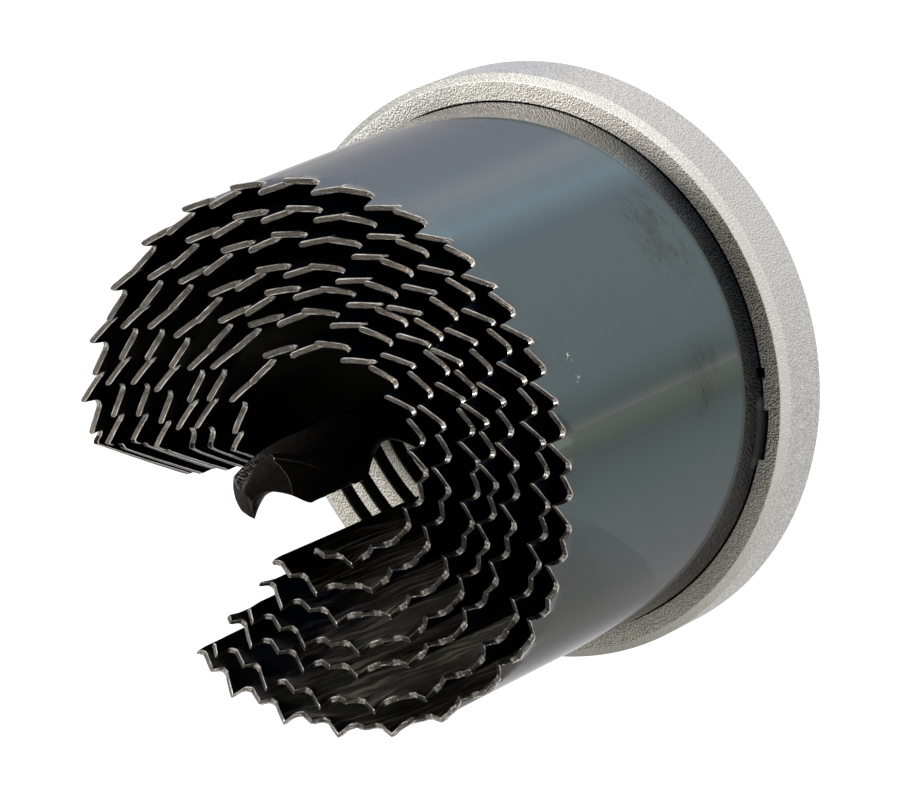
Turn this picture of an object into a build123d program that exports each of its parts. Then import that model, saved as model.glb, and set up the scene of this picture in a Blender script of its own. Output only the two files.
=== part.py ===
from build123d import *

import math
import os
from dataclasses import dataclass

# Ring hole saw: seven split, toothed bands stand in the ring grooves of a die-cast
# holder, round a twist drill, and a hexagonal shank drives the whole from behind.
# Millimetres. The saw's axis lies along Y, teeth towards -Y, shank towards +Y, and
# the origin is the root of the shank, on the rear face of the holder's hub.
# Solids are built on an upright axis: local Z = 0 is the holder's grooved face,
# +Z points to the teeth, and angles run from local X to local Y.


@dataclass(frozen=True)
class Band:
    """One saw band: its diameter, where its strip starts and how its teeth fall."""

    diameter: float
    start_angle: float
    first_tooth: float
    first_set: int
    pitch: float
    lean_x: float
    lean_y: float


# Saw bands: outside diameter, angle of the straight end, arc from that end to the
# first tooth's tip, side to which that tooth is set (+1 out, -1 in), pitch of the
# teeth, and how far the toothed end of the springy strip leans off the axis, across
# and up
BANDS = [
    Band(63.0, -124.5, 3.46, -1, 3.559, 0.0, 0.0),
    Band(57.0, -122.0, 1.45, 1, 3.56, 0.15, -0.1),
    Band(50.0, -120.8, 0.95, -1, 3.541, -0.2, 0.4),
    Band(44.0, -118.0, 1.71, 1, 3.542, 0.0, 0.0),
    Band(38.0, -117.5, 0.1, -1, 3.574, 0.65, 0.55),
    Band(32.0, -117.5, 0.1, 1, 3.668, 0.0, 0.75),
    Band(25.0, -101.0, 2.92, -1, 3.492, 0.4, 0.7),
]
BAND_THICKNESS = 0.7
BAND_REACH = 44.0
BAND_SEAT_DEPTH = 4.6
BAND_ROOT_ANGLE = 200.0
BAND_TIP_ANGLE = 184.5
BAND_SLANT_ANGLE = 25.5

# Teeth
TOOTH_DEPTH = 2.4
TOOTH_SET = 0.6
SET_BEND_HEIGHT = 3.2
GULLET_RADIUS = 0.6
GULLET_FLAT = 0.25

# Driving lugs of the bands and their pockets
LUG_ANGLE = -5.5
LUG_WIDTH = 5.0
LUG_PROJECTION = 0.55
LUG_HEIGHT = 2.2
LUG_TOP_DEPTH = 1.0
LUG_CLEARANCE = 0.12
LUG_FLOOR_CLEARANCE = 0.7
POCKET_END_CLEARANCE = 0.5
PRY_NOTCH_SPACING = 7.3
PRY_NOTCH_WIDTH = 1.1
PRY_NOTCH_DEPTH = 0.4

# Holder
PLATE_DIAMETER = 69.5
PLATE_THICKNESS = 8.0
RIM_BEVEL = 0.9
RIM_BACK_RADIUS = 0.6
GROOVE_WIDTH = 1.7
GROOVE_DEPTH = 5.2
BAND_CLEARANCE = 0.12
HUB_DIAMETER = 26.0
HUB_HEIGHT = 18.0
HUB_ROOT_RADIUS = 2.0
HUB_EDGE_RADIUS = 0.8
HUB_DRAFT = 1.0

# Twist drill
DRILL_DIAMETER = 8.0
DRILL_REACH = 58.5
DRILL_FLUTED_LENGTH = 42.0
DRILL_HELIX_PITCH = 47.0
DRILL_WEB = 2.0
DRILL_LAND_ANGLE = 82.0
DRILL_LIP_ANGLE = -96.0
DRILL_POINT_ANGLE = 118.0
FLANK_CONE_ANGLE = 96.0
FLANK_CONE_TILT = 9.0
FLANK_CONE_OFFSET = 0.8
FLANK_CONE_RISE = 0.57
DRILL_FLAT_DEPTH = 0.8
DRILL_FLAT_LENGTH = 9.0
DRILL_TAIL_CHAMFER = 0.6
BORE_CLEARANCE = 0.05
BORE_CHAMFER = 0.6

# Shank
SHANK_ACROSS_FLATS = 11.0
SHANK_LENGTH = 24.0
SHANK_CHAMFER = 1.0
SPIGOT_DIAMETER = 10.0
SPIGOT_LENGTH = 8.0

# Set screw that holds the drill
SCREW_DIAMETER = 6.0
SCREW_SUNK = 0.7
SCREW_SOCKET = 3.0
SCREW_SOCKET_DEPTH = 3.0
SCREW_ANGLE = 90.0
SCREW_CUP_CHAMFER = 1.0
SCREW_CLEARANCE = 0.05

# Worked out from the sizes above
FACE_Y = -(HUB_HEIGHT + PLATE_THICKNESS)
PLATE_RADIUS = PLATE_DIAMETER / 2
HUB_RADIUS = HUB_DIAMETER / 2
DRILL_RADIUS = DRILL_DIAMETER / 2
HUB_BACK = -(PLATE_THICKNESS + HUB_HEIGHT)
GULLET_LEVEL = BAND_REACH - TOOTH_DEPTH
BEND_LEVEL = BAND_REACH - SET_BEND_HEIGHT
LUG_MIDDLE = -(LUG_TOP_DEPTH + LUG_HEIGHT / 2)
POCKET_DEPTH = LUG_PROJECTION + LUG_CLEARANCE
POCKET_FLOOR = LUG_TOP_DEPTH + LUG_HEIGHT + LUG_FLOOR_CLEARANCE
POCKET_WIDTH = LUG_WIDTH + 2 * POCKET_END_CLEARANCE
DRILL_TAIL = -(PLATE_THICKNESS + HUB_HEIGHT - SPIGOT_LENGTH) + BORE_CLEARANCE
SCREW_LEVEL = -PLATE_THICKNESS - HUB_ROOT_RADIUS - SCREW_DIAMETER / 2
SAW = Plane(origin=(0, FACE_Y, 0), x_dir=(1, 0, 0), z_dir=(0, -1, 0))


def groove_outer_radius(band):
    """Outer wall of a band's groove."""
    return band.diameter / 2 + BAND_CLEARANCE


def polar(radius, angle, level=0.0):
    """Point at a radius and an angle in degrees."""
    turn = math.radians(angle)
    return (radius * math.cos(turn), radius * math.sin(turn), level)


def arc_angle(length, radius):
    """Angle in degrees of an arc of the given length."""
    return math.degrees(length / radius)


def turned(points, start=0.0, sweep=360.0):
    """Solid of revolution from a closed outline of (radius, level) points."""
    outline = make_face(Polyline(*points, close=True))
    solid = revolve(Plane.XZ * outline, axis=Axis.Z, revolution_arc=sweep)
    return Rot(0, 0, start) * solid


def wall_plane(radius, angle):
    """Plane that touches a cylinder: X along its arc, Y along its axis."""
    turn = math.radians(angle)
    tangent = (-math.sin(turn), math.cos(turn), 0)
    outward = (math.cos(turn), math.sin(turn), 0)
    return Plane(origin=polar(radius, angle), x_dir=tangent, z_dir=outward)


def gullet_tool(pitch):
    """Outline of the air above one tooth cell, whose tip is at its right end."""
    half = pitch / 2
    over = TOOTH_DEPTH
    slope_run = pitch - GULLET_RADIUS - GULLET_FLAT
    slope = TOOTH_DEPTH / slope_run
    left = -half
    low = GULLET_LEVEL
    foot = low + GULLET_RADIUS
    lines = [
        Line((left - over, foot), (left, foot)),
        RadiusArc((left, foot), (left + GULLET_RADIUS, low), -GULLET_RADIUS),
        Line((left + GULLET_RADIUS, low), (left + GULLET_RADIUS + GULLET_FLAT, low)),
        Line((left + GULLET_RADIUS + GULLET_FLAT, low),
             (half + over, BAND_REACH + slope * over)),
        Line((half + over, BAND_REACH + slope * over), (half + over, BAND_REACH + 2 * over)),
        Line((half + over, BAND_REACH + 2 * over), (left - over, BAND_REACH + 2 * over)),
        Line((left - over, BAND_REACH + 2 * over), (left - over, foot)),
    ]
    return make_face(lines)


def tooth(band, side):
    """One tooth cell, from its left neighbour's rake to its own, leaning to one side."""
    outer = band.diameter / 2
    inner = outer - BAND_THICKNESS
    middle = (outer + inner) / 2
    cell = arc_angle(band.pitch, middle)
    shift = side * TOOTH_SET
    section = [
        (inner, BEND_LEVEL),
        (outer, BEND_LEVEL),
        (outer + shift, BAND_REACH),
        (inner + shift, BAND_REACH),
    ]
    blank = turned(section, -cell / 2, cell)
    depth = 2 * TOOTH_SET + BAND_THICKNESS
    air = extrude(wall_plane(middle, 0) * gullet_tool(band.pitch), amount=depth, both=True)
    return blank - air


def band_outline(band):
    """Room that the strip's outline leaves: one end straight, the other one slanted."""
    outer = band.diameter / 2
    middle = outer - BAND_THICKNESS / 2
    margin = BAND_THICKNESS + TOOTH_SET
    room = turned(
        [
            (outer - BAND_THICKNESS - margin, -BAND_SEAT_DEPTH),
            (outer + margin, -BAND_SEAT_DEPTH),
            (outer + margin, BAND_REACH),
            (outer - BAND_THICKNESS - margin, BAND_REACH),
        ],
        band.start_angle,
        BAND_ROOT_ANGLE - band.start_angle,
    )
    half_turn = (BAND_ROOT_ANGLE - BAND_TIP_ANGLE) / 2
    offset = middle * math.radians(half_turn)
    rise = 2 * offset / math.tan(math.radians(BAND_SLANT_ANGLE))
    far = BAND_REACH
    corner = [
        (-offset, BAND_REACH),
        (offset, BAND_REACH - rise),
        (offset + far, BAND_REACH - rise),
        (offset + far, BAND_REACH + far),
        (-offset - far * math.tan(math.radians(BAND_SLANT_ANGLE)), BAND_REACH + far),
    ]
    wall = wall_plane(middle, BAND_ROOT_ANGLE - half_turn)
    cut = extrude(wall * make_face(Polyline(*corner, close=True)), amount=2 * margin, both=True)
    return room - cut


def lug(band):
    """Tab at the band's foot that keeps it from turning in its groove."""
    outer = band.diameter / 2
    block = Box(LUG_PROJECTION + BAND_THICKNESS / 2, LUG_WIDTH, LUG_HEIGHT)
    reach = outer + LUG_PROJECTION - (LUG_PROJECTION + BAND_THICKNESS / 2) / 2
    return Rot(0, 0, LUG_ANGLE) * Pos(reach, 0, LUG_MIDDLE) * block


def leaning(band, piece):
    """The band tipped about the middle of its seat by its lean."""
    shift = math.hypot(band.lean_x, band.lean_y)
    if shift == 0:
        return piece
    pivot = Axis((0, 0, -BAND_SEAT_DEPTH / 2), (-band.lean_y, band.lean_x, 0))
    tilt = math.degrees(math.atan2(shift, BAND_REACH + BAND_SEAT_DEPTH / 2))
    return piece.rotate(pivot, tilt)


def saw_band(band):
    """A split band with its set teeth, its slanted end and its lug."""
    outer = band.diameter / 2
    inner = outer - BAND_THICKNESS
    middle = (outer + inner) / 2
    over = arc_angle(BAND_THICKNESS, middle)
    strip = turned(
        [(inner, -BAND_SEAT_DEPTH), (outer, -BAND_SEAT_DEPTH), (outer, BEND_LEVEL), (inner, BEND_LEVEL)],
        band.start_angle - over,
        BAND_ROOT_ANGLE - band.start_angle + 2 * over,
    )
    cell = arc_angle(band.pitch, middle)
    pattern = {side: tooth(band, side) for side in (1, -1)}
    first_tip = band.start_angle + arc_angle(band.first_tooth, middle)
    count = math.ceil((BAND_TIP_ANGLE - first_tip) / cell) + 2
    teeth = []
    for index in range(-1, count):
        side = band.first_set if index % 2 == 0 else -band.first_set
        centre = first_tip + (index - 0.5) * cell
        teeth.append(Rot(0, 0, centre) * pattern[side])
    trimmed = (strip + teeth) & band_outline(band)
    return leaning(band, trimmed + lug(band))


def lug_pocket(band):
    """Recess in a groove's outer wall for the lug, with a small notch beside it."""
    wall = groove_outer_radius(band)
    width = POCKET_DEPTH + GROOVE_WIDTH / 2
    pocket = Pos(wall + POCKET_DEPTH - width / 2, 0, -POCKET_FLOOR / 2) * Box(
        width, POCKET_WIDTH, POCKET_FLOOR
    )
    nick_width = PRY_NOTCH_DEPTH + GROOVE_WIDTH / 2
    nick = Pos(wall + PRY_NOTCH_DEPTH - nick_width / 2, 0, -POCKET_FLOOR / 2) * Box(
        nick_width, PRY_NOTCH_WIDTH, POCKET_FLOOR
    )
    nick_angle = LUG_ANGLE + arc_angle(PRY_NOTCH_SPACING, wall)
    return [Rot(0, 0, LUG_ANGLE) * pocket, Rot(0, 0, nick_angle) * nick]


def groove(band):
    """Ring groove for one band."""
    wall = groove_outer_radius(band)
    return turned([
        (wall - GROOVE_WIDTH, 0),
        (wall, 0),
        (wall, -GROOVE_DEPTH),
        (wall - GROOVE_WIDTH, -GROOVE_DEPTH),
    ])


def screw_axis():
    """Plane on the hub's axis whose Z points out along the set screw."""
    turn = math.radians(SCREW_ANGLE)
    return Plane(
        origin=(0, 0, SCREW_LEVEL),
        x_dir=(0, 0, 1),
        z_dir=(math.cos(turn), math.sin(turn), 0),
    )


def upright(plane, radius, low, high):
    """Round bar along a plane's Z, from one height to another."""
    return plane * Pos(0, 0, (low + high) / 2) * Cylinder(radius, high - low)


def holder():
    """Die-cast plate with its ring grooves, lug pockets, hub, bore and screw hole."""
    hub_tip = HUB_RADIUS - HUB_HEIGHT * math.tan(math.radians(HUB_DRAFT))
    lines = [
        Line((0, 0), (PLATE_RADIUS - RIM_BEVEL, 0)),
        Line((PLATE_RADIUS - RIM_BEVEL, 0), (PLATE_RADIUS, -RIM_BEVEL)),
        Line((PLATE_RADIUS, -RIM_BEVEL), (PLATE_RADIUS, -PLATE_THICKNESS)),
        Line((PLATE_RADIUS, -PLATE_THICKNESS), (HUB_RADIUS, -PLATE_THICKNESS)),
        Line((HUB_RADIUS, -PLATE_THICKNESS), (hub_tip, HUB_BACK)),
        Line((hub_tip, HUB_BACK), (0, HUB_BACK)),
        Line((0, HUB_BACK), (0, 0)),
    ]
    outline = make_face(lines)
    corners = outline.vertices()
    rim = corners.sort_by_distance((PLATE_RADIUS, -PLATE_THICKNESS))[0]
    outline = fillet(rim, RIM_BACK_RADIUS)
    root = outline.vertices().sort_by_distance((HUB_RADIUS, -PLATE_THICKNESS))[0]
    outline = fillet(root, HUB_ROOT_RADIUS)
    edge = outline.vertices().sort_by_distance((hub_tip, HUB_BACK))[0]
    outline = fillet(edge, HUB_EDGE_RADIUS)
    body = revolve(Plane.XZ * outline, axis=Axis.Z)
    cuts = [groove(band) for band in BANDS]
    for band in BANDS:
        cuts += lug_pocket(band)
    bore = DRILL_RADIUS + BORE_CLEARANCE
    socket = SPIGOT_DIAMETER / 2 + BORE_CLEARANCE
    shoulder = HUB_BACK + SPIGOT_LENGTH + BORE_CLEARANCE
    cuts.append(turned([
        (0, BORE_CHAMFER),
        (bore + 2 * BORE_CHAMFER, BORE_CHAMFER),
        (bore, -BORE_CHAMFER),
        (bore, shoulder),
        (socket, shoulder),
        (socket, HUB_BACK - BORE_CHAMFER),
        (0, HUB_BACK - BORE_CHAMFER),
    ]))
    cuts.append(upright(screw_axis(), SCREW_DIAMETER / 2 + SCREW_CLEARANCE, 0, HUB_RADIUS))
    return body - cuts


def drill_section():
    """Fluted section: two lands and the hollow of each flute between them."""
    web = DRILL_WEB / 2
    half_flute = (180 - DRILL_LAND_ANGLE) / 2
    lines = []
    for side in (0, 180):
        lip = polar(DRILL_RADIUS, side)[:2]
        deep = polar(web, side + half_flute)[:2]
        heel = polar(DRILL_RADIUS, side + 2 * half_flute)[:2]
        crown = polar(DRILL_RADIUS, side + 2 * half_flute + DRILL_LAND_ANGLE / 2)[:2]
        next_lip = polar(DRILL_RADIUS, side + 180)[:2]
        lines.append(ThreePointArc(lip, deep, heel))
        lines.append(ThreePointArc(heel, crown, next_lip))
    return make_face(lines)


def pilot_drill():
    """Two-fluted twist drill with a ground point, a plain shank and a flat for the screw."""
    foot = DRILL_REACH - DRILL_FLUTED_LENGTH
    twist = 360 * DRILL_FLUTED_LENGTH / DRILL_HELIX_PITCH
    point_drop = DRILL_RADIUS / math.tan(math.radians(DRILL_POINT_ANGLE / 2))
    lip_angle = DRILL_LIP_ANGLE + 360 * point_drop / DRILL_HELIX_PITCH
    fluted = Solid.extrude_linear_with_rotation(
        drill_section().faces()[0], (0, 0, 0), (0, 0, DRILL_FLUTED_LENGTH), twist
    )
    fluted = Pos(0, 0, foot) * Rot(0, 0, lip_angle - twist) * fluted
    for side in (0, 180):
        fluted = fluted & flank(lip_angle + side)
    run_out = DRILL_RADIUS - DRILL_WEB / 2
    shank = turned([
        (0, DRILL_TAIL),
        (DRILL_RADIUS - DRILL_TAIL_CHAMFER, DRILL_TAIL),
        (DRILL_RADIUS, DRILL_TAIL + DRILL_TAIL_CHAMFER),
        (DRILL_RADIUS, foot),
        (DRILL_WEB / 2, foot + 2 * run_out),
        (0, foot + 2 * run_out),
    ])
    flat = Pos(DRILL_RADIUS * 2 - DRILL_FLAT_DEPTH, 0, 0) * Box(
        2 * DRILL_RADIUS, 2 * DRILL_DIAMETER, DRILL_FLAT_LENGTH
    )
    flat = Pos(0, 0, SCREW_LEVEL) * Rot(0, 0, SCREW_ANGLE) * flat
    return (fluted + shank) - flat


def flank(angle):
    """Cone to which one flank is ground: it leans along the lip, with its tip beside the axis."""
    height = DRILL_FLUTED_LENGTH + DRILL_DIAMETER
    radius = height * math.tan(math.radians(FLANK_CONE_ANGLE / 2))
    cone = Cone(radius, 0, height, align=(Align.CENTER, Align.CENTER, Align.MAX))
    off_angle = angle + 180 - DRILL_LAND_ANGLE / 2
    tip = polar(FLANK_CONE_OFFSET, off_angle, DRILL_REACH + FLANK_CONE_RISE)
    return Pos(*tip) * Rot(0, 0, angle) * Rot(0, -FLANK_CONE_TILT, 0) * cone


def drive_shank():
    """Hexagonal steel shank with the spigot that is screwed into the hub."""
    hexagon = RegularPolygon(SHANK_ACROSS_FLATS / 2, 6, major_radius=False)
    bar = extrude(Pos(0, 0, HUB_BACK - SHANK_LENGTH) * hexagon, amount=SHANK_LENGTH)
    corner = SHANK_ACROSS_FLATS / math.sqrt(3)
    round_off = turned([
        (0, HUB_BACK - SHANK_LENGTH),
        (corner - SHANK_CHAMFER, HUB_BACK - SHANK_LENGTH),
        (corner, HUB_BACK - SHANK_LENGTH + SHANK_CHAMFER),
        (corner, HUB_BACK),
        (0, HUB_BACK),
    ])
    spigot = turned([
        (0, HUB_BACK),
        (SPIGOT_DIAMETER / 2, HUB_BACK),
        (SPIGOT_DIAMETER / 2, HUB_BACK + SPIGOT_LENGTH - SHANK_CHAMFER),
        (SPIGOT_DIAMETER / 2 - SHANK_CHAMFER, HUB_BACK + SPIGOT_LENGTH),
        (0, HUB_BACK + SPIGOT_LENGTH),
    ])
    return (bar & round_off) + spigot


def drill_set_screw():
    """Headless hexagon-socket screw whose point bears on the drill's flat."""
    seat = DRILL_RADIUS - DRILL_FLAT_DEPTH + SCREW_CLEARANCE
    top = HUB_RADIUS - SCREW_SUNK
    radius = SCREW_DIAMETER / 2
    outline = [
        (0, seat),
        (radius - SCREW_CUP_CHAMFER, seat),
        (radius, seat + SCREW_CUP_CHAMFER),
        (radius, top),
        (0, top),
    ]
    body = screw_axis() * turned(outline)
    hexagon = RegularPolygon(SCREW_SOCKET / 2, 6, major_radius=False)
    socket = extrude(Pos(0, 0, top - SCREW_SOCKET_DEPTH) * hexagon, amount=SCREW_SOCKET_DEPTH)
    return body - screw_axis() * socket


def main():
    """Build every piece, place it in the part's frame and write it."""
    os.makedirs("parts", exist_ok=True)
    pieces = {f"saw_band_{band.diameter:.0f}": saw_band(band) for band in BANDS}
    pieces["band_holder"] = holder()
    pieces["pilot_drill"] = pilot_drill()
    pieces["drive_shank"] = drive_shank()
    pieces["drill_set_screw"] = drill_set_screw()
    for name, piece in pieces.items():
        export_step(SAW * piece, f"parts/{name}.step")


main()
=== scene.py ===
"""Ring hole saw: the looks of its saw bands, its cast holder, its drill and its shank."""

import logging
import math
import random
from dataclasses import dataclass, field
from enum import Enum, IntEnum
from typing import Any, Iterable, Sequence, Union

import bmesh
import bpy
from mathutils import Matrix, Vector

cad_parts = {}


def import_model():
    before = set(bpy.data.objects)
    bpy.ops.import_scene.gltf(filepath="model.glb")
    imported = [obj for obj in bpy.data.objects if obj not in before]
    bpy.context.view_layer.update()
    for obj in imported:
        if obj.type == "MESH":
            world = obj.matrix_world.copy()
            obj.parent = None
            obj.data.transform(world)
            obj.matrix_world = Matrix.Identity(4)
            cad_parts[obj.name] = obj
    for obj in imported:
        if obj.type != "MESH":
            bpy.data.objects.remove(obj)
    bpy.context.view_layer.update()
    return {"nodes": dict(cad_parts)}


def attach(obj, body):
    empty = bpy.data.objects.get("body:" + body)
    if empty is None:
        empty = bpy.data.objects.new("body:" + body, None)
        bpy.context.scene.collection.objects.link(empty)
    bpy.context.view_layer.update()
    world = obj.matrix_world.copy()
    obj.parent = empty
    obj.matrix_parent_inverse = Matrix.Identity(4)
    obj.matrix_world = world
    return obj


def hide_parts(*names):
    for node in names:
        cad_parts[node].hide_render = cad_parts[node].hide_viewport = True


LOG = logging.getLogger("hole_saw")
MM = 0.001
PER_METRE = 1000.0
FACE_Y = -26.0
REACH = 44.0
HALF_TURN = 180.0
FULL_TURN = 360.0

WHITE = (1.0, 1.0, 1.0)
CREASE = 32.0

Point = tuple[float, float]
Colour = tuple[float, float, float]
Stops = Sequence[tuple[float, Colour]]


class Skin(IntEnum):
    """Material slots of a saw band's mesh."""

    OUTSIDE = 0
    INSIDE = 1
    GROUND = 2
    CUT = 3
    EDGE = 4
    GULLET = 5


class Set(IntEnum):
    """Side to which a tooth is bent."""

    OUT = 1
    IN = -1


class Ray(IntEnum):
    """Outputs of the Light Path node that are used."""

    CAMERA = 0
    GLOSSY = 3
    TRANSMISSION = 6


class Where(IntEnum):
    """Outputs of the Texture Coordinate node that are used."""

    GENERATED = 0
    OBJECT = 3


class Cut(Enum):
    """Ways in which a tool's mesh is combined with a piece's."""

    INTERSECT = "INTERSECT"
    DIFFERENCE = "DIFFERENCE"


class Blend(Enum):
    """Ways in which one colour is laid over another."""

    MIX = "MIX"
    MULTIPLY = "MULTIPLY"


class Signal:
    """A node's output socket that takes part in arithmetic as a number would."""

    def __init__(self, graph: "Graph", socket: bpy.types.NodeSocket) -> None:
        """Wrap one output socket.

        Args:
            graph: The graph that the socket belongs to.
            socket: The output socket.
        """
        self.graph = graph
        self.socket = socket

    def _math(self, operation: str, *values: "Value") -> "Signal":
        """Add one Math node.

        Args:
            operation: The Math node's operation.
            values: Its inputs, in order.

        Returns:
            The node's result.
        """
        inputs = dict(enumerate(values))
        return self.graph.node("ShaderNodeMath", {"operation": operation}, inputs)[0]

    def __add__(self, other: "Value") -> "Signal":
        """Sum."""
        return self._math("ADD", self, other)

    __radd__ = __add__

    def __sub__(self, other: "Value") -> "Signal":
        """Difference."""
        return self._math("SUBTRACT", self, other)

    def __rsub__(self, other: "Value") -> "Signal":
        """Difference from a number."""
        return self._math("SUBTRACT", other, self)

    def __mul__(self, other: "Value") -> "Signal":
        """Product."""
        return self._math("MULTIPLY", self, other)

    __rmul__ = __mul__

    def __truediv__(self, other: "Value") -> "Signal":
        """Quotient."""
        return self._math("DIVIDE", self, other)

    def __rtruediv__(self, other: "Value") -> "Signal":
        """Quotient of a number."""
        return self._math("DIVIDE", other, self)

    def turn(self, across: "Value") -> "Signal":
        """Angle in radians of the direction whose rise is this signal and whose run is the other."""
        return self._math("ARCTAN2", self, across)

    def root(self) -> "Signal":
        """Square root."""
        return self._math("SQRT", self)

    def size(self) -> "Signal":
        """Absolute value."""
        return self._math("ABSOLUTE", self)

    def rise(self, low: float, high: float) -> "Signal":
        """Smooth step.

        Args:
            low: Value at which the step leaves 0.
            high: Value at which it reaches 1.

        Returns:
            A signal from 0 to 1, clamped.
        """
        settings = {"interpolation_type": "SMOOTHSTEP"}
        inputs = {"Value": self, "From Min": low, "From Max": high}
        return self.graph.node("ShaderNodeMapRange", settings, inputs)[0]

    def band(self, middle: float, half: float, soft: float) -> "Signal":
        """Smooth window round a value.

        Args:
            middle: Middle of the window.
            half: Half of its width, between the middles of its flanks.
            soft: Width of each flank.

        Returns:
            A signal that is 1 inside the window and 0 far from it.
        """
        edge = soft / 2
        up = self.rise(middle - half - edge, middle - half + edge)
        down = self.rise(middle + half - edge, middle + half + edge)
        return up - down


Value = Union[Signal, float]


class Graph:
    """One material's or world's node tree, written as expressions."""

    def __init__(self, tree: bpy.types.NodeTree) -> None:
        """Start from an empty tree.

        Args:
            tree: The node tree to fill.
        """
        self.tree = tree
        tree.nodes.clear()

    def node(
        self, kind: str, settings: dict[str, Any], inputs: dict[Any, Any]
    ) -> list[Signal]:
        """Add a node.

        Args:
            kind: The node's type.
            settings: Its settings, which are made first; "stops" fills a colour ramp.
            inputs: Values or links of its sockets, by name or number.

        Returns:
            Its enabled outputs, in order.
        """
        node = self.tree.nodes.new(kind)
        for name, value in settings.items():
            if name == "stops":
                self._fill_ramp(node.color_ramp, value)
            else:
                setattr(node, name, value)
        for name, value in inputs.items():
            socket = self._input(node, name)
            if isinstance(value, Signal):
                self.tree.links.new(value.socket, socket)
            elif isinstance(value, tuple) and socket.type == "RGBA":
                socket.default_value = (*value, 1.0)
            else:
                socket.default_value = value
        return [Signal(self, out) for out in node.outputs if out.enabled]

    @staticmethod
    def _input(node: bpy.types.Node, name: Any) -> bpy.types.NodeSocket:
        """Find an enabled input by name or number."""
        if isinstance(name, int):
            return node.inputs[name]
        return next(s for s in node.inputs if s.name == name and s.enabled)

    @staticmethod
    def _fill_ramp(ramp: bpy.types.ColorRamp, stops: Stops) -> None:
        """Give a colour ramp its stops.

        Args:
            ramp: The ramp.
            stops: Place and colour of each stop, in order.
        """
        while len(ramp.elements) < len(stops):
            ramp.elements.new(1.0)
        for element, (place, colour) in zip(ramp.elements, stops):
            element.position = place
            element.color = (*colour, 1.0)

    def place(self) -> Signal:
        """Place on the object, in metres."""
        return self.node("ShaderNodeTexCoord", {}, {})[Where.OBJECT]

    def parts(self, vector: Signal) -> list[Signal]:
        """Split a vector into its three numbers."""
        return self.node("ShaderNodeSeparateXYZ", {}, {0: vector})

    def vector(self, x: Value, y: Value, z: Value) -> Signal:
        """Join three numbers into a vector."""
        return self.node("ShaderNodeCombineXYZ", {}, {0: x, 1: y, 2: z})[0]

    def noise(
        self, vector: Signal, scale: float, detail: float = 2.0, rough: float = 0.5
    ) -> Signal:
        """Fractal noise.

        Args:
            vector: Where it is read.
            scale: Features to the unit.
            detail: Octaves.
            rough: Share that each finer octave keeps.

        Returns:
            A number near 0.5.
        """
        inputs = {"Vector": vector, "Scale": scale, "Detail": detail, "Roughness": rough}
        return self.node("ShaderNodeTexNoise", {"normalize": True}, inputs)[0]

    def ramp_round(self, angle: Signal, stops: Stops) -> Signal:
        """Colour that changes round the saw's axis.

        Args:
            angle: Angle in degrees from -180 to 180.
            stops: Angle and colour of each stop, in order.

        Returns:
            The colour.
        """
        placed = [((turn + HALF_TURN) / FULL_TURN, colour) for turn, colour in stops]
        share = (angle + HALF_TURN) / FULL_TURN
        return self.node("ShaderNodeValToRGB", {"stops": placed}, {0: share})[0]

    def mix(
        self, factor: Value, below: Any, above: Any, blend: Blend = Blend.MIX
    ) -> Signal:
        """Lay one colour over another.

        Args:
            factor: How much of the upper colour shows.
            below: Lower colour or its signal.
            above: Upper colour or its signal.
            blend: How they are combined.

        Returns:
            The colour.
        """
        settings = {"data_type": "RGBA", "blend_type": blend.value, "clamp_factor": True}
        inputs = {"Factor": factor, "A": below, "B": above}
        return self.node("ShaderNodeMix", settings, inputs)[0]

    def tint(self, factor: Value, below: Any, above: Any) -> Signal:
        """Multiply one colour by another, by the given share."""
        return self.mix(factor, below, above, Blend.MULTIPLY)

    def bump(self, height: Signal, depth: float, strength: float = 1.0) -> Signal:
        """Relief of the given depth.

        Args:
            height: Height from 0 to 1.
            depth: Metres for a height of 1.
            strength: Share of the relief that shows.

        Returns:
            The normal.
        """
        inputs = {"Height": height, "Distance": depth, "Strength": strength}
        return self.node("ShaderNodeBump", {}, inputs)[0]

    def polished(self, inputs: dict[str, Any]) -> None:
        """Close the tree with one Principled shader.

        Args:
            inputs: Values or links of its sockets.
        """
        shader = self.node("ShaderNodeBsdfPrincipled", {}, inputs)[0]
        self.node("ShaderNodeOutputMaterial", {}, {"Surface": shader})


class Finish:
    """A surface finish that can build its own material."""

    name = "finish"

    def paint(self, graph: Graph) -> None:
        """Fill the material's tree."""
        raise NotImplementedError

    def material(self) -> bpy.types.Material:
        """Build the material.

        Returns:
            A new material with this finish.
        """
        material = bpy.data.materials.new(self.name)
        material.use_nodes = True
        self.paint(Graph(material.node_tree))
        return material


def around(graph: Graph) -> tuple[Signal, Signal, Signal, Signal]:
    """Cylindrical place round the saw's axis.

    Args:
        graph: The graph to write in.

    Returns:
        Vector in metres, angle in degrees from -180 to 180, radius in millimetres and
        distance in front of the holder's face in millimetres.
    """
    vector = graph.place()
    x, y, z = graph.parts(vector)
    angle = z.turn(x) * math.degrees(1.0)
    radius = (x * x + z * z).root() * PER_METRE
    ahead = y * -PER_METRE + FACE_Y
    return vector, angle, radius, ahead


@dataclass(frozen=True)
class Mark:
    """Zone of small marks on a band, by the angle and the distance ahead of its middle."""

    angle: float
    ahead: float
    half_angle: float
    half_ahead: float


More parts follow.
